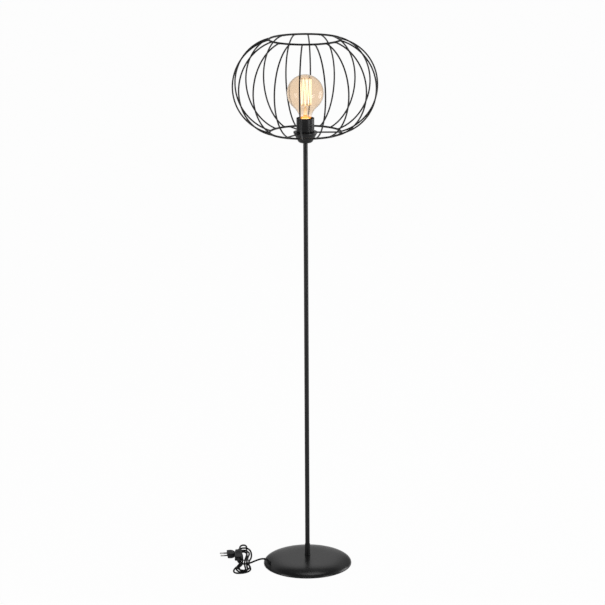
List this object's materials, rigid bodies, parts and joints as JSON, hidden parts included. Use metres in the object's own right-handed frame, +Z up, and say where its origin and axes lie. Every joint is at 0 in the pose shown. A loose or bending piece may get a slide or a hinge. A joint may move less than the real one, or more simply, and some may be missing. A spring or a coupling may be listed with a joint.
{
  "type": "cage floor lamp",
  "caption": "Black floor lamp with a round domed base, a thin straight pole and an open barrel-shaped wire cage around a globe bulb, with a flex, in-line switch and plug.",
  "frame": {"origin": "on the floor under the middle of the round base, on the pole's axis", "axes": "+Z up along the pole; the flex leaves the base and the plug lies towards -X; the picture looks along +Y"},
  "size_m": [0.426, 0.376, 1.4206],
  "materials": {
    "black_paint": "satin black powder coat, fine texture",
    "base_paint": "satin black powder coat, smooth and slightly glossy",
    "weight_iron": "rough grey casting",
    "felt": "black felt",
    "zinc_steel": "zinc plated steel",
    "black_rubber": "matte black rubber",
    "cord_sheath": "black cord sheath, soft sheen",
    "bakelite": "black thermoset, satin",
    "brass": "bare brass",
    "cap_metal": "rolled brass screw cap",
    "amber_glass": "clear glass with an amber tint",
    "stem_glass": "clear glass",
    "black_glass": "dark vitrite insulator",
    "filament": "bright filament wire",
    "support_wire": "fine support wire",
    "black_plastic": "fine grained black plastic",
    "pin_metal": "nickel plated brass pins"
  },
  "bodies": {
    "lamp": {"base_shell": "base_paint", "base_weight": "weight_iron", "base_pad": "felt", "base_washer": "zinc_steel", "base_nut": "zinc_steel", "base_nipple": "zinc_steel", "cord_grommet": "black_rubber", "pole_foot": "black_paint", "pole_lower": "black_paint", "pole_middle": "black_paint", "pole_upper": "black_paint", "pole_couplers": "zinc_steel", "cage_top_ring": "black_paint", "cage_bottom_ring": "black_paint", "cage_ribs": "black_paint", "cage_hub": "black_paint", "cage_spokes": "black_paint", "holder_cup": "black_paint", "holder_nipple": "zinc_steel", "holder_nut": "zinc_steel", "holder_cap": "bakelite", "holder_core": "bakelite", "holder_sleeve": "black_paint", "screw_shell": "brass", "side_contact": "brass", "centre_contact": "brass", "terminal_screws": "zinc_steel", "holder_leads": "cord_sheath", "inner_cord": "cord_sheath", "cord_lead": "cord_sheath", "cord_loop": "cord_sheath", "cord_hank": "cord_sheath", "cord_tail": "cord_sheath", "hank_tie": "black_plastic", "switch_base": "black_plastic", "switch_cover": "black_plastic", "switch_contacts": "brass", "switch_screws": "zinc_steel", "plug_body": "black_plastic", "pin_sleeves": "black_plastic", "plug_pins": "pin_metal"},
    "bulb_foot": {"bulb_contact": "brass"},
    "bulb": {"bulb_glass": "amber_glass", "bulb_cap": "cap_metal", "bulb_insulator": "black_glass", "bulb_stem": "stem_glass", "bulb_supports": "support_wire", "bulb_filament": "filament"},
    "rocker": {"switch_rocker": "black_plastic", "rocker_blade": "brass"}
  },
  "joints": [
    {"name": "bulb_rise", "type": "slide", "parent": "lamp", "child": "bulb_foot", "axis": [0, 0, 1], "range_m": [0, 0.0185]},
    {"name": "bulb_turn", "type": "hinge", "parent": "bulb_foot", "child": "bulb", "pos_m": [0, 0, 1.28], "axis": [0, 0, 1], "range_deg": [0, 1800]},
    {"name": "switch_rock", "type": "hinge", "parent": "lamp", "child": "rocker", "pos_m": [-0.1865, 0.013, 0.0219], "axis": [-1, 0, 0], "range_deg": [0, 14]}
  ],
  "couplings": [
    {"joint": "bulb_rise", "follows": "bulb_turn", "m_per_rad": 0.00057757}
  ]
}
